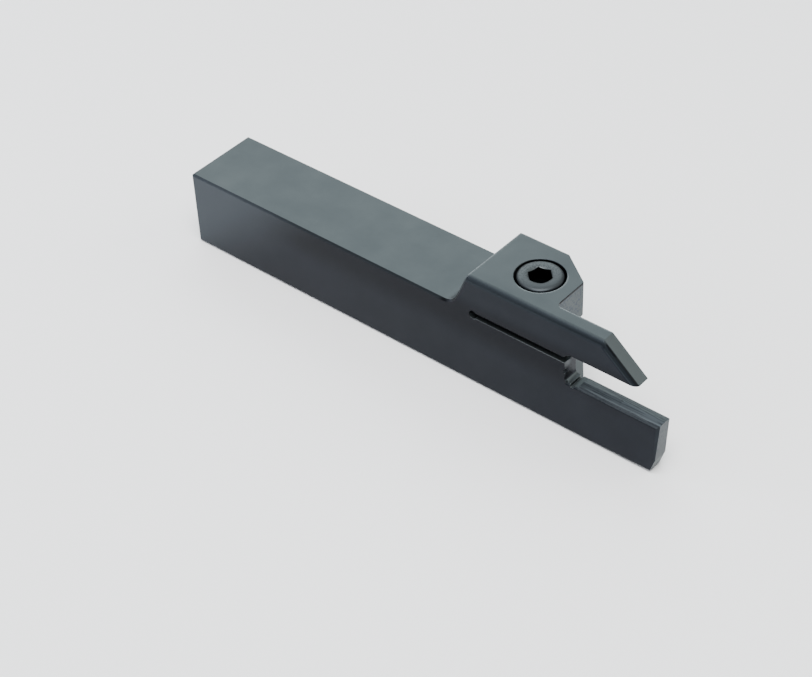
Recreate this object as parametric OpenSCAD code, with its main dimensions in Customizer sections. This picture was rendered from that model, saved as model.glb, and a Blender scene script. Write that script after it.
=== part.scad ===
// Left-hand turning tool holder for external grooving and parting, without its insert.
// One steel body holds the insert between a blade and an upper jaw. A slit lets the
// jaw flex, and one socket head screw pulls it down.
// Lengths run from the rear end, widths from the blade side, heights from the base.

/* [Shank] */
// Width of the square shank
shank_w = 16; // [14:0.5:20]
// Height of the square shank
shank_h = 16; // [15.5:0.5:17]
// Length over all, without an insert
total_l = 108.5; // [105:0.5:125]
// Bevel round the rear end face
rear_bevel = 1.2; // [0.6:0.1:2]
// Small bevel on the long edges
edge_bevel = 0.4; // [0.2:0.05:0.5]

/* [Head] */
// Height of the head over the base
head_h = 23.5; // [23:0.5:26]
// Length of the head's flat top
head_l = 17; // [16:0.5:24]
// Radius along the head's top edge at the blade side
head_round = 1.2; // [0.8:0.1:1.5]
// Steepness of the step from shank to head, in degrees
step_angle = 66; // [55:1:80]
// Radius of the hollow at the foot of the step
step_r = 3; // [1.5:0.5:4]
// Length of the cut corner of the head
corner_l = 7; // [5:0.5:8]
// Width of the cut corner of the head
corner_w = 5; // [3:0.5:6]
// Radius that eases the cut corner into the side
corner_r = 3; // [1:0.5:4]
// Radius in the corner between the wall and the jaw
root_r = 0.9; // [0.5:0.1:1.5]
// Lean of the front wall below the slit, in degrees
wall_lean = 5; // [2:1:7]

/* [Blade and jaw] */
// Thickness of the blade and the jaw
blade_t = 3.3; // [2.4:0.1:4]
// Reach of the blade in front of the head's wall
reach = 23.5; // [20:0.5:26]
// Height of the ridge along the insert seat, over the base
seat_z = 11.3; // [10.8:0.05:11.5]
// Fall of the seat from its ridge to its sides
vee_fall = 0.4; // [0.2:0.05:0.6]
// Height of the jaw's underside over the base
jaw_z = 17.3; // [17:0.1:17.6]
// Drop of the vee rail under the jaw
rail_d = 0.45; // [0.2:0.05:0.5]
// Length of the jaw's flat top in front of the wall
jaw_top_l = 11.5; // [8:0.5:12]
// Reach of the jaw's nose in front of the wall
nose_reach = 18.8; // [16:0.1:19]
// Radius along the near edge of the jaw's nose
nose_round = 1; // [0.6:0.1:1.2]
// Clearance of the blade's front end, in degrees
front_relief = 3; // [1:0.5:6]

/* [Slit and stop] */
// Height of the slit's floor over the base
slit_z = 15.1; // [14.8:0.05:15.2]
// Height of the slit
slit_h = 1.2; // [0.8:0.1:1.3]
// Diameter of the relief hole that ends the slit
slit_end_d = 1.7; // [1.4:0.1:2.2]
// Distance from the head's rear edge to the relief hole
slit_end_l = 1.4; // [1:0.1:3]
// Distance from the head's wall to the stop behind the insert
stop_l = 4.2; // [3.5:0.1:5]

/* [Clamp screw] */
// Nominal diameter of the thread
screw_d = 5; // [4:0.5:5]
// Length of the screw under its head
screw_l = 16; // [12:0.5:17]
// Diameter of the screw's head
screw_head_d = 8.5; // [7:0.1:8.6]
// Height of the screw's head
screw_head_h = 5; // [4:0.1:5]
// Hexagon socket, across its flats
socket_af = 4; // [3:0.5:4]
// Depth of the hexagon socket
socket_deep = 2.6; // [2:0.1:3]
// Distance from the head's wall to the screw
screw_to_wall = 7; // [6.5:0.1:8]
// Diameter of the counterbore round the screw's head
counterbore_d = 9.2; // [9:0.1:10]
// How far the screw's head stands out of its counterbore
head_proud = 0.2; // [0:0.1:0.5]

/* [Hidden] */
$fn = 96;

wall_x = total_l - reach;
head_x = wall_x - head_l;
screw_x = wall_x - screw_to_wall;
screw_y = shank_w / 2;
stop_x = wall_x + stop_l;
jaw_top_x = wall_x + jaw_top_l;
nose_x = wall_x + nose_reach;
slit_end_x = head_x + slit_end_l;
slit_top_z = slit_z + slit_h;
mid_y = blade_t / 2;

// The step leans back from the head's rear edge down to the shank.
step_run = (head_h - shank_h) / tan(step_angle);
step_foot_x = head_x - step_run;
step_tangent = step_r * tan(step_angle / 2);
hollow = [step_foot_x - step_tangent, shank_h + step_r];
hollow_end = [step_foot_x + step_tangent * cos(step_angle), shank_h + step_tangent * sin(step_angle)];

// The blade's front end leans back towards the base and ends in a toe bevel.
toe_h = 3.2;
toe_l = 1;
toe_x = total_l - (seat_z - toe_h) * tan(front_relief);
// The end's near edge is broken, and the bevel under the blade grows towards the tip.
tip_break_l = 0.6;
tip_break_w = 0.45;
tip_grow_x = wall_x + 9;
tip_grow_angle = 1.2;

// The stop behind the insert runs into the floor in a hollow, in front of it is a relief groove.
strip_z = seat_z - vee_fall - 0.05;
stop_r = 0.9;
groove_x = stop_x + 1.15;
groove_end_x = groove_x + 0.65;
groove_d = 0.6;
seat_x = stop_x + 2.9;
// A shallow notch in the stop, open to the near side, with its axis turned to run out.
notch_z = slit_z - 1.95;
notch_r = 0.8;
notch_d = 0.3;
notch_l = 1.3;

// Half way along, the seat steps down to the land that carries the insert's front.
land_x = wall_x + 14.9;
land_ramp = 0.35;
land_drop = 0.12;
// The near edge of the seat is broken, the step in the jaw's underside is sloped.
seat_break = 0.3;
jaw_step_back = 0.3;
jaw_step_l = 1;
// The rail under the jaw ends short of the nose.
rail_l = 8;
rail_end_x = nose_x - 0.4;
rail_x = rail_end_x - rail_l;
rail_half = 1;
rail_in = 0.1;

// The screw's counterbore ends above the slit, and its thread ends above the base.
head_seat_z = head_h + head_proud - screw_head_h;
clearance_d = screw_d + 0.5;
thread_gap = 0.1;
// The screw's rim, its point and the bottom of its socket.
screw_rim = 0.45;
screw_point = 0.7;
socket_turn = 16;
socket_tip_d = 0.8;
socket_tip_h = 0.6;
socket_cone_d = socket_af * 0.95;
// How far a cutter runs past the body, in mm or degrees, and how far two touching solids overlap.
past = 1;
lap = 0.01;

// The cut corner runs into the head's side in an arc about corner_mid.
corner_turn = atan(corner_w / corner_l);
corner_back = corner_r * tan(corner_turn / 2);
corner_mid = [wall_x - corner_l - corner_back, shank_w - corner_r];
corner_end = corner_mid + corner_r * [sin(corner_turn), cos(corner_turn)];

// Outline of the whole body from the blade side, as length and height.
module side_outline() {
    difference() {
        polygon([
            [rear_bevel, 0],
            [0, rear_bevel],
            [0, shank_h - rear_bevel],
            [rear_bevel, shank_h],
            [hollow[0], shank_h],
            hollow_end,
            [head_x, head_h],
            [jaw_top_x, head_h],
            [nose_x, jaw_z],
            [stop_x - jaw_step_back + jaw_step_l, jaw_z],
            [stop_x - jaw_step_back, slit_top_z],
            [slit_end_x, slit_top_z],
            [slit_end_x, slit_z],
            [stop_x, slit_z],
            [stop_x, strip_z + stop_r],
            [stop_x + stop_r, strip_z],
            [groove_x, strip_z],
            [groove_x, strip_z - groove_d],
            [groove_end_x, strip_z - groove_d],
            [groove_end_x, strip_z],
            [seat_x, strip_z],
            [seat_x, seat_z],
            [land_x, seat_z],
            [land_x + land_ramp, seat_z - land_drop],
            [total_l, seat_z - land_drop],
            [toe_x, toe_h],
            [toe_x - toe_l, 0]
        ]);
        translate(hollow) circle(r = step_r);
        translate([slit_end_x, slit_z + slit_h / 2]) circle(d = slit_end_d);
        translate([stop_x + stop_r, strip_z + stop_r]) circle(r = stop_r);
    }
}

// Outline from above of shank and head, with the cut corner run on to the given front.
// The blade and the jaw have stock left on their far side, for the space beside them to cut.
module plan_outline(front) {
    polygon([
        [rear_bevel, 0],
        [total_l - tip_break_l, 0],
        [total_l, tip_break_w],
        [total_l, blade_t + past],
        [front, blade_t + past],
        [front, shank_w - corner_w - (front - wall_x) * corner_w / corner_l],
        corner_end,
        [corner_mid[0], shank_w],
        [rear_bevel, shank_w],
        [0, shank_w - rear_bevel],
        [0, rear_bevel]
    ]);
    translate(corner_mid) circle(r = corner_r);
}

// The milled space in front of the wall, beside the blade, with a rounded corner.
module beside_blade() {
    polygon([
        [wall_x, blade_t + root_r],
        [wall_x + root_r, blade_t],
        [wall_x + total_l, blade_t],
        [wall_x + total_l, 2 * shank_w],
        [wall_x, 2 * shank_w]
    ]);
    translate([wall_x + root_r, blade_t + root_r]) circle(r = root_r);
}

// Outline from the rear, with the long edges bevelled and the head's near top edge rounded.
module end_outline() {
    e = edge_bevel;
    r = head_round;
    polygon([
        [e, 0],
        [shank_w - e, 0],
        [shank_w, e],
        [shank_w, head_h - e],
        [shank_w - e, head_h],
        [r, head_h],
        [0, head_h - r],
        [0, e]
    ]);
    translate([r, head_h - r]) circle(r = r);
}

// A profile drawn as length and height, extruded across the width.
module across(y, w) {
    translate([0, y + w, 0]) rotate([90, 0, 0]) linear_extrude(w) children();
}

// Turns a profile of width and height to run along the side outline from p to q.
module along(p, q) {
    turn = atan2(q[1] - p[1], q[0] - p[0]);
    translate([p[0], 0, p[1]]) rotate([0, -turn, 0]) rotate([90, 0, 90]) linear_extrude(norm(q - p)) children();
}

// A cutter that bevels the near edge of the side outline along the line from p to q.
module edge_cut(p, q, e) {
    far = e + past;
    along(p, q) polygon([[-past, -far], [far, past], [-past, past]]);
}

// The same bevel round the hollow at the foot of the step.
module hollow_cut() {
    far = edge_bevel + past;
    translate([hollow[0], 0, hollow[1]]) rotate([90, 0, 0]) rotate([0, 0, -90 - past])
        rotate_extrude(angle = step_angle + 2 * past)
            polygon([[step_r - past, past], [step_r + far, past], [step_r - past, -far]]);
}

// The near edges of the shank's top and of the step.
module shank_cut() {
    edge_cut([-past, shank_h], [hollow[0], shank_h], edge_bevel);
}
module step_cut() {
    run = [cos(step_angle), sin(step_angle)];
    edge_cut(hollow_end, [head_x, head_h] + past * run, edge_bevel);
}
module mirrored_across() {
    translate([0, shank_w, 0]) mirror([0, 1, 0]) children();
}

// The round along the near edge of the nose.
module nose_cut() {
    run = [nose_x - jaw_top_x, jaw_z - head_h] / norm([nose_x - jaw_top_x, jaw_z - head_h]);
    r = nose_round;
    along([jaw_top_x, head_h] - 2 * past * run, [nose_x, jaw_z] + past * run) difference() {
        polygon([[-past, past], [-past, -r], [0, -r], [r, 0], [r, past]]);
        translate([r, -r]) circle(r = r);
    }
}

// The near edge of the seat, and the bevel under the blade that grows towards its tip.
module seat_cut() {
    edge_cut([groove_x - stop_r, strip_z], [total_l + past, strip_z], seat_break);
}
module tip_cut() {
    far = edge_bevel + past;
    translate([tip_grow_x, 0, 0]) rotate([0, -tip_grow_angle, 0]) rotate([90, 0, 90]) linear_extrude(total_l)
        polygon([[-past, far], [far, -past], [-past, -past]]);
}

// The space beside the blade: upright above the slit, and leaning below it to stiffen the blade's root.
module upper_space() {
    translate([0, 0, slit_z + slit_h / 2]) linear_extrude(head_h) beside_blade();
}
module lower_space() {
    translate([wall_x, 0, slit_z]) rotate([0, -wall_lean, 0])
        translate([-wall_x, 0, -2 * shank_h]) linear_extrude(2 * shank_h + slit_h / 2) beside_blade();
}

// The seat falls from its ridge to both sides.
module seat_flank(side) {
    far = side * shank_w;
    translate([seat_x - lap, mid_y, seat_z]) rotate([90, 0, 90]) linear_extrude(total_l)
        polygon([[0, 0], [far, -vee_fall / mid_y * shank_w], [far, past], [0, past]]);
}

// The vee rail under the jaw's nose that holds the insert down.
module jaw_rail() {
    intersection() {
        translate([rail_x, mid_y, jaw_z]) rotate([90, 0, 90]) linear_extrude(rail_l)
            polygon([
                [-rail_half, rail_in],
                [-rail_half, 0],
                [0, -rail_d],
                [rail_half, 0],
                [rail_half, rail_in]
            ]);
        across(0, blade_t) polygon([
            [rail_x, jaw_z + rail_in],
            [rail_x + rail_d, jaw_z - rail_d],
            [rail_end_x - rail_d, jaw_z - rail_d],
            [rail_end_x, jaw_z],
            [rail_end_x - rail_in, jaw_z + rail_in]
        ]);
    }
}

// The notch in the stop, as a round cutter with its axis across.
module stop_notch() {
    translate([stop_x + notch_r - notch_d, 0, notch_z]) rotate([0, 0, -atan(notch_d / notch_l)])
        rotate([-90, 0, 0]) translate([0, 0, -past]) cylinder(r = notch_r, h = notch_l + 2 * past);
}

// Counterbore, clearance hole and tapped hole on one axis.
module screw_holes() {
    translate([screw_x, screw_y, 0]) {
        translate([0, 0, head_seat_z]) cylinder(d = counterbore_d, h = head_h);
        translate([0, 0, slit_z + slit_h / 2]) cylinder(d = clearance_d, h = head_h);
        translate([0, 0, -past]) cylinder(d = screw_d + thread_gap, h = slit_z + slit_h / 2 + past);
    }
}

// The body before the edges of its step are bevelled and its holes are made.
module blank() {
    foot_front = wall_x + slit_z * tan(wall_lean);
    difference() {
        difference() {
            intersection() {
                across(0, shank_w) side_outline();
                linear_extrude(head_h) plan_outline(foot_front);
                rotate([90, 0, 90]) linear_extrude(total_l) end_outline();
            }
            upper_space();
        }
        lower_space();
    }
    jaw_rail();
}

// The bevels along the shank's top and up the step, on both sides, and along blade and nose.
module bevelled_blank() {
    difference() {
        difference() {
            difference() {
                blank();
                shank_cut();
                mirrored_across() shank_cut();
                nose_cut();
            }
            step_cut();
            mirrored_across() step_cut();
            seat_flank(1);
            seat_flank(-1);
        }
        hollow_cut();
        mirrored_across() hollow_cut();
        seat_cut();
        tip_cut();
    }
}

module holder_body() {
    color("#4a5054") translate([-total_l / 2, -shank_w / 2, 0]) difference() {
        bevelled_blank();
        stop_notch();
        screw_holes();
    }
}

module clamp_screw() {
    top = head_seat_z + screw_head_h;
    tip = head_seat_z - screw_l;
    floor_z = top - socket_deep;
    color("#8d9296") translate([screw_x - total_l / 2, screw_y - shank_w / 2, 0]) difference() {
        rotate_extrude() polygon([
            [0, tip],
            [screw_d / 2 - screw_point, tip],
            [screw_d / 2, tip + screw_point],
            [screw_d / 2, head_seat_z],
            [screw_head_d / 2, head_seat_z],
            [screw_head_d / 2, top - screw_rim],
            [screw_head_d / 2 - screw_rim, top],
            [0, top]
        ]);
        translate([0, 0, floor_z]) rotate(socket_turn) linear_extrude(screw_head_h)
            circle(d = socket_af / cos(30), $fn = 6);
        translate([0, 0, floor_z - socket_tip_h])
            cylinder(d1 = socket_tip_d, d2 = socket_cone_d, h = socket_tip_h + lap);
    }
}

holder_body();
clamp_screw();
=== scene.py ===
import math

import bmesh
import bpy
from mathutils import Matrix, Vector


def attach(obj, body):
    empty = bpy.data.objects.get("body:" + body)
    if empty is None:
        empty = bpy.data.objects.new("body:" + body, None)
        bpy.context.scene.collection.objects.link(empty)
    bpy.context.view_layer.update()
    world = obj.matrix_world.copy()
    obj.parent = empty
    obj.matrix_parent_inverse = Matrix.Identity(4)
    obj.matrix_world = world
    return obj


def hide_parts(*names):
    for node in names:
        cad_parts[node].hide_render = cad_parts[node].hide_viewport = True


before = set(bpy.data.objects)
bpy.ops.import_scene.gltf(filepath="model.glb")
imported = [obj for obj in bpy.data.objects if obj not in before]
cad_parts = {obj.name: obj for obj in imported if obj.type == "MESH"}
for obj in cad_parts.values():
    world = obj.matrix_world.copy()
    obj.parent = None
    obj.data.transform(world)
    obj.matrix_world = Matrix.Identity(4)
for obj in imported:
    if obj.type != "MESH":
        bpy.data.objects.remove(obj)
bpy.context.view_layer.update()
mm = 0.001
mergeGap = 0.002 * mm  # points closer than this become one
screwAxis = Vector((23.75, 0.0, 0.0)) * mm
print("frame loaded")


def srgb(code):
    # A hex colour as it looks on screen, made linear for the shader.
    values = [int(code[i : i + 2], 16) / 255 for i in (1, 3, 5)]
    linear = [v / 12.92 if v <= 0.04045 else ((v + 0.055) / 1.055) ** 2.4 for v in values]
    return (*linear, 1.0)


def addNode(tree, kind, links=None, **settings):
    # Adds one node. Settings are attributes, links maps a socket to a value or to another socket.
    node = tree.nodes.new(kind)
    for name, value in settings.items():
        setattr(node, name, value)
    for key, value in (links or {}).items():
        if isinstance(value, bpy.types.NodeSocket):
            tree.links.new(value, node.inputs[key])
        else:
            node.inputs[key].default_value = value
    return node


def newMaterial(name):
    material = bpy.data.materials.new(name)
    material.use_nodes = True
    tree = material.node_tree
    tree.nodes.clear()
    return material, tree


def asObject(name, bm, materials):
    # Turns a finished bmesh into an object at the origin.
    mesh = bpy.data.meshes.new(name)
    bm.to_mesh(mesh)
    bm.free()
    piece = bpy.data.objects.new(name, mesh)
    bpy.context.scene.collection.objects.link(piece)
    for material in materials:
        mesh.materials.append(material)
    return piece


def openEdges(bm):
    return sum(not edge.is_manifold for edge in bm.edges)


# Camera. The angles come from the edges of the shank in the photograph.
cameraSettings = {
    "azimuth": 41.58,
    "elevation": 40.56,
    "roll": -2.72,
    "distance": 361.59 * mm,
    "sideways": 2.05 * mm,
    "downwards": -10.08 * mm,
    "lookAt": Vector((-4.25, 0.0, 8.0)) * mm,
    "focalPixels": 1971.77,
    "imageWidth": 812,
    "sensor": 36.0,
    "clip": (0.01, 20.0),
}


def makeCamera():
    s = cameraSettings
    az, el, roll = (math.radians(s[k]) for k in ("azimuth", "elevation", "roll"))
    forward = Vector((-math.sin(az) * math.cos(el), math.cos(az) * math.cos(el), -math.sin(el)))
    right = Vector((math.cos(az), math.sin(az), 0))
    down = forward.cross(right)
    rolledRight = math.cos(roll) * right - math.sin(roll) * down
    rolledDown = math.sin(roll) * right + math.cos(roll) * down
    place = s["lookAt"] - rolledRight * s["sideways"] - rolledDown * s["downwards"] - forward * s["distance"]
    data = bpy.data.cameras.new("camera")
    data.sensor_width = s["sensor"]
    data.lens = s["focalPixels"] / s["imageWidth"] * s["sensor"]
    data.clip_start, data.clip_end = s["clip"]
    camera = bpy.data.objects.new("camera", data)
    axes = Matrix((rolledRight, -rolledDown, -forward)).transposed()
    camera.matrix_world = Matrix.Translation(place) @ axes.to_4x4()
    bpy.context.scene.collection.objects.link(camera)
    bpy.context.scene.camera = camera


makeCamera()
print("camera placed")


# Stage: a white sweep of paper, a tent of even light and soft panels, the strongest of them overhead.
stageSettings = {
    "floorHalf": 1.5,
    "floorHeight": -0.03 * mm,
    "floorColour": "#f4f4f4",
    "floorRoughness": 0.9,
    "tentColour": "#f6fbff",
    "tentStrength": 0.52,
    "panels": [
        # name, place, aim, width, height, power, colour
        ("backLeftPanel", (-0.55, 0.60, 0.62), (0, 0, 0), 1.00, 0.90, 7.6, "#f4fcff"),
        ("backRightPanel", (0.65, 0.70, 0.50), (0, 0, 0), 0.80, 0.80, 4.6, "#fffdf8"),
        ("topLeftPanel", (-0.52, -0.12, 0.84), (0, 0, 0), 0.45, 0.60, 1.2, "#f2f4ff"),
        ("frontLeftPanel", (-0.50, -0.70, 0.70), (0, 0, 0), 0.60, 0.60, 1.2, "#f2f4ff"),
        ("overheadPanel", (0.20, -0.28, 1.05), (0, 0, 0), 0.70, 0.70, 22, "#ffffff"),
        ("rearEndPanel", (-0.30, -0.16, 0.06), (-0.05, 0, 0.01), 0.12, 0.10, 0.7, "#f2f4ff"),
    ],
}


def makeStage():
    s = stageSettings
    material, tree = newMaterial("pale paper sweep")
    paper = {"Base Color": srgb(s["floorColour"]), "Roughness": s["floorRoughness"]}
    shader = addNode(tree, "ShaderNodeBsdfPrincipled", paper)
    addNode(tree, "ShaderNodeOutputMaterial", {"Surface": shader.outputs[0]})
    bm = bmesh.new()
    bmesh.ops.create_grid(bm, x_segments=1, y_segments=1, size=s["floorHalf"])
    bmesh.ops.translate(bm, verts=bm.verts, vec=(0, 0, s["floorHeight"]))
    floor = asObject("floor", bm, [material])
    world = bpy.data.worlds.new("studio")
    bpy.context.scene.world = world
    world.use_nodes = True
    background = world.node_tree.nodes["Background"]
    background.inputs["Color"].default_value = srgb(s["tentColour"])
    background.inputs["Strength"].default_value = s["tentStrength"]
    for name, place, aim, width, height, power, colour in s["panels"]:
        data = bpy.data.lights.new(name, "AREA")
        data.shape = "RECTANGLE"
        data.size = width
        data.size_y = height
        data.energy = power
        data.color = srgb(colour)[:3]
        light = bpy.data.objects.new(name, data)
        light.location = place
        turn = (Vector(aim) - Vector(place)).to_track_quat("-Z", "Y")
        light.rotation_euler = turn.to_euler()
        light.visible_camera = False
        bpy.context.scene.collection.objects.link(light)


makeStage()
print("stage and lights made")


# Finishes are described by measures, places and coats. A measure is a value at each point, such as x.
# A place is 1 where a mark lies and 0 elsewhere. A coat lays a colour over another at a place.
def partMeasures(tree):
    # The place in millimetres in the part's own frame, and how far the surface turns to each axis.
    where = addNode(tree, "ShaderNodeTexCoord").outputs
    toMm = {0: where["Object"], "Scale": 1 / mm}
    inMm = addNode(tree, "ShaderNodeVectorMath", toMm, operation="SCALE").outputs[0]
    value = {"inMm": inMm}
    for vector, names in ((inMm, ("x", "y", "z")), (where["Normal"], ("turnX", "turnY", "turnZ"))):
        value.update(zip(names, addNode(tree, "ShaderNodeSeparateXYZ", {0: vector}).outputs))
    return value


def addPlaces(tree, value, places):
    # Joins the parts of each place by its operation. A part is a name in value, a number, or a
    # soft step of a measure: 0 at the first of its two numbers and 1 at the second.
    for name, operation, *parts in places:
        total = None
        for part in parts:
            if isinstance(part, tuple):
                measure, start, end = part
                span = {"Value": value[measure], "From Min": start, "From Max": end}
                step = addNode(tree, "ShaderNodeMapRange", span, interpolation_type="SMOOTHSTEP")
                part = step.outputs[0]
            elif isinstance(part, str):
                part = value[part]
            if total is None:
                total = part
            else:
                joined = addNode(tree, "ShaderNodeMath", {0: total, 1: part}, operation=operation)
                total = joined.outputs[0]
        value[name] = total


def addCoats(tree, value, settings):
    # Lays the coats one after another. A colour is an earlier coat or one of the settings.
    for name, under, over, place in settings["coats"]:
        under, over = (value[c] if c in value else srgb(settings[c]) for c in (under, over))
        coat = addNode(tree, "ShaderNodeMix", {0: value[place], 6: under, 7: over}, data_type="RGBA")
        value[name] = coat.outputs[2]


def addMetal(tree, colour, roughness, relief):
    # Ends the material of a metal with its relief, shader and output.
    bump = addNode(tree, "ShaderNodeBump", relief).outputs[0]
    look = {"Base Color": colour, "Metallic": 1.0, "Roughness": roughness, "Normal": bump}
    shader = addNode(tree, "ShaderNodeBsdfPrincipled", look)
    addNode(tree, "ShaderNodeOutputMaterial", {"Surface": shader.outputs[0]})


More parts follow.
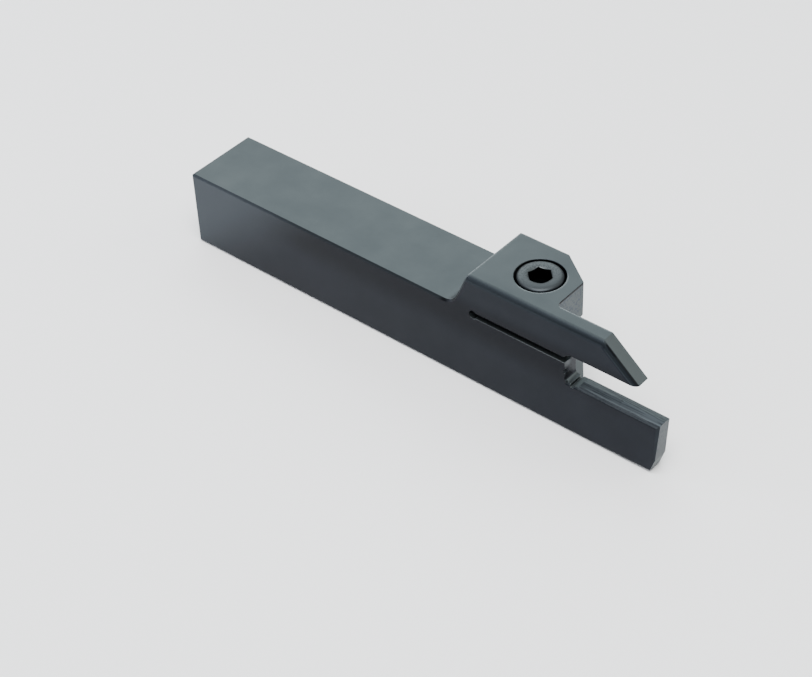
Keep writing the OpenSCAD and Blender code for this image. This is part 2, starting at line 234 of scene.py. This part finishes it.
# Black oxide on steel: a thin dark oxide over the metal. Milled faces scatter and look grey; the ground
# sides lie smooth and are painted nearly black, a darker finish with painted shade in it. Rubbed edges show
# the lighter metal, and painted highlights, painted reflections and painted shade lines lie on some edges
# and faces.
blackOxideSettings = {
    "milledColour": "#505657",
    "milledDarker": "#3f4547",
    # the ground sides: a darker, smoother finish with painted shade in it
    "groundAndShadeColour": "#1f2228",
    "groundAndShadeDarker": "#16191e",
    "shadedColour": "#111318",  # the upper part of the sides, away from the rear end
    "rearReflectionColour": "#33383d",  # painted reflection on the sides towards the rear end
    "roundShadingColour": "#2d3236",  # painted light and shade on the lower half of the rounds
    "wornAndHighlightColour": "#83898a",  # rubbed edges, and painted highlights on edges and small facets
    "paintedShadeColour": "#0b0c0f",  # painted shade: dark lines along some edges
    "speckColour": "#333a46",  # pits that the cutter left on the head's front wall
    "endColour": "#42474a",  # the rough face at the cutting end
    "endDarker": "#32373b",
    "seatColour": "#454b4d",
    # painted highlight along the seat's near edge, and painted shade on the band inside it
    "seatEdgeHighlightColour": "#50565a",
    "seatNearShadeColour": "#41464a",
    "strokeColour": "#24282c",
    "stopColour": "#292c31",
    "stopDarker": "#1b1d21",
    "milledRoughness": 0.48,
    "groundRoughness": 0.40,
    "patterns": {
        # size in mm and detail, with the finest marks drawn coarser than real so that they show
        "mottle": (7.0, 4.0),
        "grain": (0.35, 2.0),
        "pits": (0.45, 3.0),
        "strokes": (0.22, 2.0),
    },
    "strokeLength": 5.0,
    "reliefDepth": 0.012 * mm,
    "reliefStrength": 0.3,
    "edgeRadius": 0.05 * mm,
    "rimBandWidth": 0.6 * mm,
    "bevelSamples": 6,
    "lean": -1.2,  # the painted reflection on the sides reaches 1.2 mm further forward for each mm up
    "awayTurn": -1.5,  # weight of X against Y in how far an edge turns to the rear and the far side
    "places": [
        # name, operation, parts; x, y and z in mm, and a turn of 1 faces straight along its axis
        ("flattest", "MAXIMUM", "flatX", "flatY", "flatZ"),
        ("edge", "MULTIPLY", ("flattest", 0.985, 0.90)),
        ("nearEdge", "MULTIPLY", "edge", ("turnY", -0.1, -0.4), ("turnZ", 0.1, 0.4)),
        ("specks", "MULTIPLY", ("pits", 0.46, 0.66)),
        # ground surfaces: the sides, the nose's slope and the head's round; over them painted shade high on
        # the sides, a painted reflection towards the rear end, and painted light and shade on the rounds
        ("noseSlope", "MULTIPLY", ("x", 42.4, 43.0), ("z", 14.8, 15.3)),
        ("groundSlope", "MULTIPLY", "noseSlope", ("flatY", 0.35, 0.6)),
        ("groundRound", "MULTIPLY", ("turnY", 0.05, -0.65), ("z", 21.0, 21.5)),
        ("groundSide", "MULTIPLY", ("flatY", 0.30, 0.95)),
        ("ground", "MAXIMUM", "groundSide", "groundSlope", "groundRound"),
        ("shaded", "MULTIPLY", ("z", 8.0, 13.5), ("z", 20.0, 16.0), ("x", -45.0, -25.0)),
        ("rearReflection", "MULTIPLY", ("lean", -38.0, -62.0)),
        # painted light and shade on the head's near round, fading out towards the cutting end, and on the
        # nose's outer round
        ("headRound", "MULTIPLY", ("z", 22.2, 22.85), ("x", 80.0, 20.0)),
        ("noseRound", "MULTIPLY", "noseSlope", ("turnY", -0.55, -0.70), ("turnY", -0.995, -0.93)),
        ("rounds", "MAXIMUM", "headRound", "noseRound"),
        # the face at the cutting end, darker at its foot
        ("end", "MULTIPLY", ("turnX", 0.7, 0.9), ("x", 53.6, 54.0)),
        ("endFoot", "MULTIPLY", ("z", 8.5, 3.0)),
        ("endMarks", "MAXIMUM", "specks", "endFoot"),
        # the head's front wall over the blade, with a painted shade line along its top
        ("wall", "MULTIPLY", ("turnX", 0.5, 0.8), ("x", 30.2, 30.5), ("x", 31.1, 30.95), ("z", 17.3, 17.8)),
        ("wallSpecks", "MULTIPLY", "wall", "specks", 0.75),
        ("wallTopLine", "MULTIPLY", ("z", 23.1, 23.25), ("x", 30.6, 30.7), ("x", 31.4, 31.2)),
        ("wallTop", "MULTIPLY", "wallTopLine", ("turnX", 0.1, 0.3)),
        # the stop behind the insert, rubbed where the insert bears on it, with a painted highlight laid on
        # that spot
        ("stop", "MULTIPLY", ("turnX", 0.7, 0.9), ("x", 34.5, 34.8), ("x", 35.3, 35.1)),
        ("stopContactAndHighlight", "MULTIPLY", "stop", ("z", 13.6, 14.4), ("y", -6.0, -7.0), 0.22),
        # the insert's seat, with grinding strokes along it, a painted highlight along its near edge and
        # painted shade on the band inside it, and the step down to its land, with a painted highlight on its
        # facet
        ("seat", "MULTIPLY", ("x", 37.5, 37.8), ("z", 12.2, 12.0), ("turnZ", 0.4, 0.6)),
        ("seatOuter", "MULTIPLY", ("y", -6.2, -7.0)),
        ("seatNear", "MULTIPLY", ("y", -7.4, -7.1), ("y", -6.0, -6.4)),
        ("seatStrokes", "MULTIPLY", ("strokes", 0.50, 0.60), 0.7),
        ("landStepLine", "MULTIPLY", ("x", 45.5, 45.6), ("x", 46.1, 46.0), ("z", 11.7, 11.5)),
        ("landStepHighlight", "MULTIPLY", "landStepLine", ("turnX", 0.2, 0.4), 0.8),
        # edges painted light, partly rubbed metal and partly painted highlights: the far and rear rims off
        # the blade, the slit's lip and the seat's near edge
        ("offBlade", "MAXIMUM", ("z", 14.6, 15.2), ("y", -4.6, -4.2)),
        ("rims", "MULTIPLY", ("match", 0.995, 0.92), ("away", 0.1, 0.35), ("z", 0.0, 6.0), "offBlade", 0.8),
        ("slitLip", "MULTIPLY", "nearEdge", ("z", 14.7, 14.9), ("z", 15.35, 15.2), ("x", 14.6, 15.6), 0.4),
        ("seatEdgeLine", "MULTIPLY", "nearEdge", ("x", 37.5, 37.8), ("z", 11.6, 11.2)),
        ("seatEdge", "MULTIPLY", "seatEdgeLine", ("turnZ", 0.85, 0.75), 0.08),
        ("rubbedAndLitEdges", "MAXIMUM", "rims", "slitLip", "seatEdge"),
        ("wornAndLitEdges", "MULTIPLY", "rubbedAndLitEdges", ("grain", 0.2, 0.5)),
        # painted shade on edges: the shank's near edge, the hollow before the head and the nose's line
        ("shankEdge", "MULTIPLY", ("z", 15.6, 15.8), ("z", 16.3, 16.15), ("x", 14.4, 13.4), 0.35),
        ("hollowEdge", "MULTIPLY", ("x", 7.0, 8.5), ("x", 14.3, 13.9), ("z", 20.0, 18.0), 0.85),
        ("darkEdges", "MAXIMUM", "shankEdge", "hollowEdge"),
        ("darkNear", "MULTIPLY", "nearEdge", "darkEdges"),
        ("noseLine", "MULTIPLY", "noseSlope", ("turnY", -0.12, -0.26), ("turnY", -0.58, -0.46), 0.85),
        # relief: fine grain, pits in the rough faces and strokes along the seat
        ("roughFaces", "MAXIMUM", "wall", "end"),
        ("pitDepth", "MULTIPLY", "roughFaces", "specks", -2.0),
        ("strokeDepth", "MULTIPLY", "seat", "strokes", 2.0),
        ("relief", "ADD", "grain", "pitDepth", "strokeDepth"),
    ],
    "coats": [
        # name, colour under, colour over, place
        ("sides", "groundAndShadeColour", "groundAndShadeDarker", "mottle"),
        ("sides", "sides", "shadedColour", "shaded"),
        ("sides", "sides", "rearReflectionColour", "rearReflection"),
        ("sides", "sides", "roundShadingColour", "rounds"),
        ("milled", "milledColour", "milledDarker", "mottle"),
        ("endFace", "endColour", "endDarker", "endMarks"),
        ("milled", "milled", "endFace", "end"),
        ("milled", "milled", "speckColour", "wallSpecks"),
        ("milled", "milled", "paintedShadeColour", "wallTop"),
        ("stopFace", "stopColour", "stopDarker", "specks"),
        ("milled", "milled", "stopFace", "stop"),
        ("milled", "milled", "wornAndHighlightColour", "stopContactAndHighlight"),
        ("seatFace", "seatColour", "seatEdgeHighlightColour", "seatOuter"),
        ("seatFace", "seatFace", "seatNearShadeColour", "seatNear"),
        ("seatFace", "seatFace", "strokeColour", "seatStrokes"),
        ("milled", "milled", "seatFace", "seat"),
        ("milled", "milled", "wornAndHighlightColour", "landStepHighlight"),
        ("colour", "milled", "sides", "ground"),
        ("colour", "colour", "wornAndHighlightColour", "wornAndLitEdges"),
        ("colour", "colour", "paintedShadeColour", "darkNear"),
        ("colour", "colour", "paintedShadeColour", "noseLine"),
    ],
}


def blackOxideSteel():
    s = blackOxideSettings
    material, tree = newMaterial("black oxide steel, milled and ground")
    value = partMeasures(tree)
    strokeWidth = s["patterns"]["strokes"][0]
    along = {0: value["inMm"], "Scale": (strokeWidth / s["strokeLength"], 1.0, 1.0)}
    stretched = addNode(tree, "ShaderNodeMapping", along).outputs[0]
    for name, (size, detail) in s["patterns"].items():
        vector = stretched if name == "strokes" else value["inMm"]
        noise = addNode(tree, "ShaderNodeTexNoise", {"Vector": vector, "Scale": 1 / size, "Detail": detail})
        value[name] = noise.outputs["Fac"]
    for axis in "XYZ":
        flat = addNode(tree, "ShaderNodeMath", {0: value["turn" + axis]}, operation="ABSOLUTE")
        value["flat" + axis] = flat.outputs[0]
    lean = {0: value["z"], 1: s["lean"], 2: value["x"]}
    value["lean"] = addNode(tree, "ShaderNodeMath", lean, operation="MULTIPLY_ADD").outputs[0]

    # Beside an edge the widely rounded normal turns from the face's own.
    wide = addNode(tree, "ShaderNodeBevel", {"Radius": s["rimBandWidth"]}, samples=s["bevelSamples"])
    rounded = wide.outputs[0]
    faceNormal = addNode(tree, "ShaderNodeNewGeometry").outputs["Normal"]
    match = addNode(tree, "ShaderNodeVectorMath", {0: rounded, 1: faceNormal}, operation="DOT_PRODUCT")
    value["match"] = match.outputs["Value"]
    bent = addNode(tree, "ShaderNodeSeparateXYZ", {0: rounded}).outputs
    away = {0: bent[0], 1: s["awayTurn"], 2: bent[1]}
    value["away"] = addNode(tree, "ShaderNodeMath", away, operation="MULTIPLY_ADD").outputs[0]

    addPlaces(tree, value, s["places"])
    addCoats(tree, value, s)
    span = {"Value": value["ground"], "To Min": s["milledRoughness"], "To Max": s["groundRoughness"]}
    roughness = addNode(tree, "ShaderNodeMapRange", span).outputs[0]
    softEdge = addNode(tree, "ShaderNodeBevel", {"Radius": s["edgeRadius"]}, samples=s["bevelSamples"])
    relief = {
        "Height": value["relief"],
        "Strength": s["reliefStrength"],
        "Distance": s["reliefDepth"],
        "Normal": softEdge.outputs[0],
    }
    addMetal(tree, value["colour"], roughness, relief)
    return material


# Heat-treated screw steel under black oxide: forged head, so a finer and rougher skin than the body.
# Its top is grey, with painted shade over one half; its side, lower rim and socket are painted dark as
# shade.
screwSteelSettings = {
    "headTopColour": "#4e5354",
    "headTopDarker": "#3c4042",
    # painted shade on the head's side and the lower part of its rim
    "sideShadeColour": "#1b1e22",
    # painted shade in the socket
    "socketShadeColour": "#050607",
    "roughness": 0.46,
    "skinSize": 0.30,  # in mm, drawn coarser than the real skin so that it shows
    "skinDetail": 3.0,
    "skinDepth": 0.016 * mm,
    "skinStrength": 0.35,
    "places": [
        # name, operation, parts; z, across and radius in mm
        ("darkSkin", "MULTIPLY", ("skin", 0.45, 0.62)),
        # painted shade over the top's half towards the near side and the cutting end
        ("paintedShadeHalf", "MULTIPLY", ("across", 20.0, 29.0)),
        ("headTop", "MULTIPLY", ("turnZ", 0.62, 0.99)),
        ("socket", "MULTIPLY", ("z", 23.45, 22.8), ("z", 19.9, 20.1), ("radius", 2.46, 2.36)),
    ],
    "coats": [
        # name, colour under, colour over, place
        ("top", "headTopColour", "headTopDarker", "darkSkin"),
        ("top", "top", "headTopDarker", "paintedShadeHalf"),
        ("colour", "sideShadeColour", "top", "headTop"),
        ("colour", "colour", "socketShadeColour", "socket"),
    ],
}


def screwSteel():
    s = screwSteelSettings
    material, tree = newMaterial("black oxide screw steel, forged and rolled")
    value = partMeasures(tree)
    inMm = value["inMm"]
    pattern = {"Vector": inMm, "Scale": 1 / s["skinSize"], "Detail": s["skinDetail"]}
    value["skin"] = addNode(tree, "ShaderNodeTexNoise", pattern).outputs["Fac"]
    across = {0: value["x"], 1: value["y"]}
    value["across"] = addNode(tree, "ShaderNodeMath", across, operation="SUBTRACT").outputs[0]
    toAxis = {0: inMm, 1: -screwAxis / mm}
    fromAxis = addNode(tree, "ShaderNodeVectorMath", toAxis, operation="ADD").outputs[0]
    level = addNode(tree, "ShaderNodeVectorMath", {0: fromAxis, 1: (1, 1, 0)}, operation="MULTIPLY")
    reach = addNode(tree, "ShaderNodeVectorMath", {0: level.outputs[0]}, operation="LENGTH")
    value["radius"] = reach.outputs["Value"]
    addPlaces(tree, value, s["places"])
    addCoats(tree, value, s)
    relief = {"Height": value["skin"], "Strength": s["skinStrength"], "Distance": s["skinDepth"]}
    addMetal(tree, value["colour"], s["roughness"], relief)
    return material


# Thread: one tree makes the screw's thread and the tapped hole's, as a tube of helical rows.
threadSettings = {
    "pitch": 0.8 * mm,
    "startHeight": 2.7 * mm,  # the tight screw's crest is this high at the angle below
    "startAngle": 16.0,
    "rowPlaces": [0.0, 0.125, 0.479, 0.5625, 0.646],  # rows of one pitch, as shares of it
    "rowHeights": [1.0, 1.0, 0.06, 0.0, 0.06],  # height of each row, from root 0 to crest 1
    "turnsBelow": 2.0,  # turns that start below the phase height, so that the tube reaches its low end
    "spareTurns": 4,  # turns past the length, pressed flat at the two ends and merged away
    "mergeGap": 0.001 * mm,
    "inputs": {
        "Turns": "NodeSocketInt",
        "Columns": "NodeSocketInt",
        "Pitch": "NodeSocketFloat",
        "Start angle": "NodeSocketFloat",
        "Root radius": "NodeSocketFloat",
        "Crest radius": "NodeSocketFloat",
        "Low end": "NodeSocketFloat",
        "High end": "NodeSocketFloat",
        "Phase height": "NodeSocketFloat",
        "Low radius": "NodeSocketFloat",
        "High radius": "NodeSocketFloat",
        "Low run-out": "NodeSocketFloat",
        "High run-out": "NodeSocketFloat",
        "Finish": "NodeSocketMaterial",
    },
}


def threadTree():
    s = threadSettings
    tree = bpy.data.node_groups.new("screw thread", "GeometryNodeTree")
    for name, kind in s["inputs"].items():
        tree.interface.new_socket(name, in_out="INPUT", socket_type=kind)
    tree.interface.new_socket("Thread", in_out="OUTPUT", socket_type="NodeSocketGeometry")
    given = addNode(tree, "NodeGroupInput").outputs
    value = {name: given[name] for name in s["inputs"]}
    rowsPerTurn = len(s["rowPlaces"])
    position = addNode(tree, "GeometryNodeInputPosition").outputs[0]
    value["gridX"], value["gridY"] = addNode(tree, "ShaderNodeSeparateXYZ", {0: position}).outputs[:2]

    # The profile of one pitch: where each row lies and how high it stands.
    switches = []
    for name in ("rowPlaces", "rowHeights"):
        switch = addNode(tree, "GeometryNodeIndexSwitch", data_type="FLOAT")
        while len(switch.index_switch_items) < rowsPerTurn:
            switch.index_switch_items.new()
        for number, share in enumerate(s[name]):
            switch.inputs[number + 1].default_value = share
        value[name] = switch.outputs[0]
        switches.append(switch)

    # Each step has a name, an operation and its inputs: a number, or a name from above.
    steps = [
        ("rows", "MULTIPLY", "Turns", rowsPerTurn),
        ("rowPoints", "ADD", "rows", 1),
        ("columnPoints", "ADD", "Columns", 1),
        ("turnShare", "ADD", "gridX", 0.5),
        ("halfRows", "MULTIPLY", "rows", 0.5),
        ("rowFound", "ADD", "gridY", "halfRows"),
        ("row", "ROUND", "rowFound"),
        ("rowMiddle", "ADD", "row", 0.5),
        ("turnFound", "DIVIDE", "rowMiddle", rowsPerTurn),
        ("turn", "FLOOR", "turnFound"),
        ("rowsBefore", "MULTIPLY", "turn", rowsPerTurn),
        ("rowLeft", "SUBTRACT", "row", "rowsBefore"),
        ("rowInTurn", "ROUND", "rowLeft"),
        ("pitchesUp", "ADD", "turn", "rowPlaces"),
        ("helixUp", "ADD", "pitchesUp", "turnShare"),
        ("helixFromPhase", "SUBTRACT", "helixUp", s["turnsBelow"]),
        ("rise", "MULTIPLY", "helixFromPhase", "Pitch"),
        ("uncutZ", "ADD", "Phase height", "rise"),
        ("cutTop", "MINIMUM", "High end", "uncutZ"),
        ("z", "MAXIMUM", "Low end", "cutTop"),
        ("depth", "SUBTRACT", "Crest radius", "Root radius"),
        ("threadRadius", "MULTIPLY_ADD", "depth", "rowHeights", "Root radius"),
        ("fromLow", "SUBTRACT", "z", "Low end"),
        ("lowRun", "DIVIDE", "fromLow", "Low run-out"),
        ("lowShare", "MINIMUM", 1.0, "lowRun"),
        ("overLow", "SUBTRACT", "threadRadius", "Low radius"),
        ("lowRadius", "MULTIPLY_ADD", "overLow", "lowShare", "Low radius"),
        ("fromHigh", "SUBTRACT", "High end", "z"),
        ("highRun", "DIVIDE", "fromHigh", "High run-out"),
        ("highShare", "MINIMUM", 1.0, "highRun"),
        ("overHigh", "SUBTRACT", "lowRadius", "High radius"),
        ("radius", "MULTIPLY_ADD", "overHigh", "highShare", "High radius"),
        ("angle", "MULTIPLY_ADD", "turnShare", math.tau, "Start angle"),
        ("cosine", "COSINE", "angle"),
        ("sine", "SINE", "angle"),
        ("pointX", "MULTIPLY", "radius", "cosine"),
        ("pointY", "MULTIPLY", "radius", "sine"),
    ]
    for name, operation, *parts in steps:
        links = {i: value[part] if isinstance(part, str) else part for i, part in enumerate(parts)}
        value[name] = addNode(tree, "ShaderNodeMath", links, operation=operation).outputs[0]
    for switch in switches:
        tree.links.new(value["rowInTurn"], switch.inputs["Index"])

    gridSize = {
        "Size X": 1.0,
        "Size Y": value["rows"],
        "Vertices X": value["columnPoints"],
        "Vertices Y": value["rowPoints"],
    }
    grid = addNode(tree, "GeometryNodeMeshGrid", gridSize).outputs[0]
    ends = {"X": value["pointX"], "Y": value["pointY"], "Z": value["z"]}
    point = addNode(tree, "ShaderNodeCombineXYZ", ends).outputs[0]
    moved = addNode(tree, "GeometryNodeSetPosition", {"Geometry": grid, "Position": point}).outputs[0]
    merge = {"Geometry": moved, "Distance": s["mergeGap"]}
    joined = addNode(tree, "GeometryNodeMergeByDistance", merge).outputs[0]
    real = addNode(tree, "GeometryNodeRealizeInstances", {"Geometry": joined}).outputs[0]
    done = addNode(tree, "GeometryNodeSetMaterial", {"Geometry": real, "Material": value["Finish"]})
    addNode(tree, "NodeGroupOutput", {0: done.outputs[0]})
    return tree


def threadMesh(tree, material, length, sizes):
    # Runs the tree once and gives back the plain tube, open at both ends.
    s = threadSettings
    turns = int(length / s["pitch"]) + s["spareTurns"]
    sizes = {**sizes, "Pitch": s["pitch"], "Turns": turns, "Finish": material}
    holder = bpy.data.objects.new("threadMaker", bpy.data.meshes.new("threadMaker"))
    bpy.context.scene.collection.objects.link(holder)
    modifier = holder.modifiers.new("thread", "NODES")
    modifier.node_group = tree
    for item in tree.interface.items_tree:
        if item.in_out == "INPUT":
            modifier[item.identifier] = sizes[item.name]
    graph = bpy.context.evaluated_depsgraph_get()
    mesh = bpy.data.meshes.new_from_object(holder.evaluated_get(graph), depsgraph=graph)
    bpy.data.objects.remove(holder)
    return mesh


def crestHeight(angle):
    # Height of the screw's crest at an angle round its axis. The hole's thread lies half a pitch off.
    s = threadSettings
    return s["startHeight"] + s["pitch"] * (angle - math.radians(s["startAngle"])) / math.tau


def markSharp(bm, degrees):
    # Soft shading everywhere, apart from the edges that turn more than this.
    limit = math.radians(degrees)
    for face in bm.faces:
        face.smooth = True
    for edge in bm.edges:
        edge.smooth = edge.calc_face_angle(math.pi) < limit


bodySteel = blackOxideSteel()
boltSteel = screwSteel()
threads = threadTree()
print("finishes and thread ready")

# Body: the CAD solid with its edges eased, as tumbling and coating leave them.
bodySettings = {
    "ease": 0.10 * mm,  # width of the eased edges, less beside small features
    "rimEase": 0.36 * mm,  # the same along the far side, the rear end and the head's rear edge
    "farSide": 7.95 * mm,  # Y past which an edge is a rim
    "rearEnd": -54.2 * mm,  # X behind which it is one
    "headRear": (13.9 * mm, 22.9 * mm),  # X behind which and Z above which it is one
    "segments": 3,
    "easedTurn": 22.0,  # edges that turn more than this, in degrees, are eased
    "shadedTurn": 24.0,  # edges that turn more than this are shaded sharp
    "flatTurn": 0.3,  # neighbouring faces that turn less than this become one
    "straightOn": -0.77,  # cosine between an edge and the next one in its run, at most
    "roomShare": 0.35,  # share of the shortest edge beside a run that its ease may take up
    "leastShare": 0.1,  # a run that would get less than this share of the rim's ease stays sharp
    "slitFloor": 15.1 * mm,
    "tappedHoleRadius": 2.55 * mm,
    "threadCrestRadius": 2.10 * mm,
    "threadMouth": 0.45 * mm,
    "wallGap": 0.01 * mm,  # points this near to the hole's radius or the base lie on it
    "uprightTurn": 0.1,  # largest turn to Z of a face of the hole's wall
}


def tapHole(bm):
    # Swaps the plain wall of the tapped hole for a threaded one on the same two rims.
    s = bodySettings
    holeRadius = s["tappedHoleRadius"]
    wall = []
    for face in bm.faces:
        reach = [(Vector((v.co.x, v.co.y, 0)) - screwAxis).length for v in face.verts]
        onWall = max(abs(r - holeRadius) for r in reach) < s["wallGap"]
        underSlit = face.calc_center_median().z < s["slitFloor"]
        if onWall and underSlit and abs(face.normal.z) < s["uprightTurn"]:
            wall.append(face)
    low = {v for face in wall for v in face.verts if v.co.z < s["wallGap"]}
    startVertex = min(low, key=lambda v: math.atan2(v.co.y, v.co.x - screwAxis.x) % math.tau)
    startAngle = math.atan2(startVertex.co.y, startVertex.co.x - screwAxis.x)
    print("tapped hole with", len(low), "columns, wall faces", len(wall))
    bmesh.ops.delete(bm, geom=wall, context="FACES")
    pitch = threadSettings["pitch"]
    sizes = {
        "Columns": len(low),
        "Start angle": startAngle,
        "Root radius": holeRadius,
        "Crest radius": s["threadCrestRadius"],
        "Low end": 0.0,
        "High end": s["slitFloor"],
        "Phase height": (crestHeight(startAngle) - 0.5 * pitch) % pitch,
        "Low radius": holeRadius,
        "High radius": holeRadius,
        "Low run-out": s["threadMouth"],
        "High run-out": s["threadMouth"],
    }
    tube = threadMesh(threads, bodySteel, s["slitFloor"], sizes)
    tube.transform(Matrix.Translation(screwAxis))
    bm.from_mesh(tube)
    bmesh.ops.remove_doubles(bm, verts=bm.verts, dist=mergeGap)


def easeWeights(bm):
    # A run of sharp edges is eased by one width, as much as its tightest place allows.
    s = bodySettings
    weight = bm.edges.layers.float.new("bevel_weight_edge")
    left = {e for e in bm.edges if e.calc_face_angle(0) > math.radians(s["easedTurn"])}
    while left:
        run = [left.pop()]
        room = 1.0
        for edge in run:
            room = min(room, edge.calc_length())
            for vert in edge.verts:
                along = (edge.other_vert(vert).co - vert.co).normalized()
                for other in vert.link_edges:
                    away = (other.other_vert(vert).co - vert.co).normalized()
                    if along.dot(away) > s["straightOn"]:
                        room = min(room, other.calc_length())
                    elif other in left:
                        left.remove(other)
                        run.append(other)
        middle = sum((v.co for edge in run for v in edge.verts), Vector()) / (2 * len(run))
        onHeadRear = middle.x < s["headRear"][0] and middle.z > s["headRear"][1]
        isRim = middle.y > s["farSide"] or middle.x < s["rearEnd"] or onHeadRear
        width = s["rimEase"] if isRim else s["ease"]
        share = min(width, s["roomShare"] * room) / s["rimEase"]
        for edge in run:
            edge[weight] = share if share > s["leastShare"] else 0.0


def makeBody():
    s = bodySettings
    bm = bmesh.new()
    bm.from_mesh(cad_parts["holder_body"].data)
    bmesh.ops.remove_doubles(bm, verts=bm.verts, dist=mergeGap)
    bmesh.ops.dissolve_limit(
        bm,
        angle_limit=math.radians(s["flatTurn"]),
        use_dissolve_boundaries=False,
        verts=bm.verts,
        edges=bm.edges,
    )
    print("body faces", len(bm.faces), "open edges", openEdges(bm))
    easeWeights(bm)
    tapHole(bm)
    print("tapped body open edges", openEdges(bm))
    bmesh.ops.recalc_face_normals(bm, faces=bm.faces)
    markSharp(bm, s["shadedTurn"])
    piece = asObject("holderBody", bm, [bodySteel])
    bevel = piece.modifiers.new("ease", "BEVEL")
    bevel.width = s["rimEase"]
    bevel.segments = s["segments"]
    bevel.limit_method = "WEIGHT"
    bevel.use_clamp_overlap = False
    flat = piece.modifiers.new("flat faces", "WEIGHTED_NORMAL")
    flat.keep_sharp = True
    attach(piece, "holder")
    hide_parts("holder_body")


makeBody()
print("body made")

# Clamp screw: M5 by 16 socket head screw, headed and rolled, then blackened.
screwSettings = {
    "columns": 72,
    "socketTurn": 16.0,
    "shadedTurn": 35.0,
    "seatHeight": 18.7 * mm,
    "length": 16 * mm,
    "shankRadius": 2.45 * mm,
    "threadRootRadius": 1.98 * mm,
    "threadRunOut": 0.6 * mm,
    "neck": 0.9 * mm,
    "point": 0.75 * mm,
    "pointRadius": 1.75 * mm,
    "pointInnerRadius": 0.9 * mm,
    "headRadius": 4.25 * mm,
    "headHeight": 5 * mm,
    "headFootBevel": 0.15 * mm,
    "rimDepth": 0.6 * mm,
    "rimWidth": 1.1 * mm,
    "rimSteps": 8,
    "underHeadFillet": 0.2 * mm,
    "filletSteps": 3,
    "socketFlat": 2.0 * mm,
    "socketMouthRadius": 2.40 * mm,
    "socketMouthSlope": 30.0,
    "socketDepth": 2.6 * mm,
    "socketConeShare": 0.94,  # the cone in the socket's floor starts at this share of the flat
    "socketConeDepth": 0.6 * mm,
    "socketConeTip": 0.3 * mm,
}


def stackRings(bm, rings, columns):
    # Joins rings of points one after another with four-sided faces.
    made = [[bm.verts.new(point) for point in ring] for ring in rings]
    for lower, upper in zip(made, made[1:]):
        for i in range(columns):
            j = (i + 1) % columns
            bm.faces.new((lower[i], lower[j], upper[j], upper[i]))
    return made


def makeScrew():
    s = screwSettings
    columns = s["columns"]
    angles = [math.tau * i / columns + math.radians(s["socketTurn"]) for i in range(columns)]
    top = s["seatHeight"] + s["headHeight"]
    tip = s["seatHeight"] - s["length"]
    neckEnd = s["seatHeight"] - s["neck"]

    def circle(radius, z):
        return [(radius * math.cos(a), radius * math.sin(a), z) for a in angles]

    def hexagon(z=None):
        # Points on the socket's hexagon, at one height or on the cone of its mouth.
        points = []
        slope = math.tan(math.radians(s["socketMouthSlope"]))
        for i, a in enumerate(angles):
            inSide = (math.tau * i / columns) % math.radians(60) - math.radians(30)
            radius = s["socketFlat"] / math.cos(inSide)
            height = top - (s["socketMouthRadius"] - radius) * slope if z is None else z
            points.append((radius * math.cos(a), radius * math.sin(a), height))
        return points

    rings = [circle(s["shankRadius"], neckEnd)]
    fillet = s["underHeadFillet"]
    for step in range(s["filletSteps"] + 1):
        turn = math.radians(90 * step / s["filletSteps"])
        radius = s["shankRadius"] + fillet * (1 - math.cos(turn))
        rings.append(circle(radius, s["seatHeight"] - fillet * (1 - math.sin(turn))))
    rings.append(circle(s["headRadius"] - s["headFootBevel"], s["seatHeight"]))
    rings.append(circle(s["headRadius"], s["seatHeight"] + s["headFootBevel"]))
    for step in range(s["rimSteps"] + 1):
        turn = math.radians(90 * step / s["rimSteps"])
        radius = s["headRadius"] - s["rimWidth"] * (1 - math.cos(turn))
        rings.append(circle(radius, top - s["rimDepth"] * (1 - math.sin(turn))))
    rings.append(circle(s["socketMouthRadius"], top))
    rings.append(hexagon())
    socketFloor = top - s["socketDepth"]
    rings.append(hexagon(socketFloor))
    rings.append(circle(s["socketFlat"] * s["socketConeShare"], socketFloor))
    rings.append(circle(s["socketConeTip"], socketFloor - s["socketConeDepth"]))
    bm = bmesh.new()
    head = stackRings(bm, rings, columns)
    bm.faces.new(head[-1])
    point = stackRings(bm, [circle(s["pointInnerRadius"], tip), circle(s["pointRadius"], tip)], columns)
    bm.faces.new(point[0])
    sizes = {
        "Columns": columns,
        "Start angle": angles[0],
        "Root radius": s["threadRootRadius"],
        "Crest radius": s["shankRadius"],
        "Low end": tip,
        "High end": neckEnd,
        "Phase height": crestHeight(angles[0]),
        "Low radius": s["pointRadius"],
        "High radius": s["shankRadius"],
        "Low run-out": s["point"],
        "High run-out": s["threadRunOut"],
    }
    bm.from_mesh(threadMesh(threads, boltSteel, s["length"], sizes))
    bmesh.ops.remove_doubles(bm, verts=bm.verts, dist=mergeGap)
    bmesh.ops.recalc_face_normals(bm, faces=bm.faces)
    bmesh.ops.translate(bm, verts=bm.verts, vec=screwAxis)
    markSharp(bm, s["shadedTurn"])
    print("screw faces", len(bm.faces), "open edges", openEdges(bm))
    piece = asObject("clampScrew", bm, [boltSteel])
    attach(piece, "screw")
    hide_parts("clamp_screw")


makeScrew()
print("screw made")
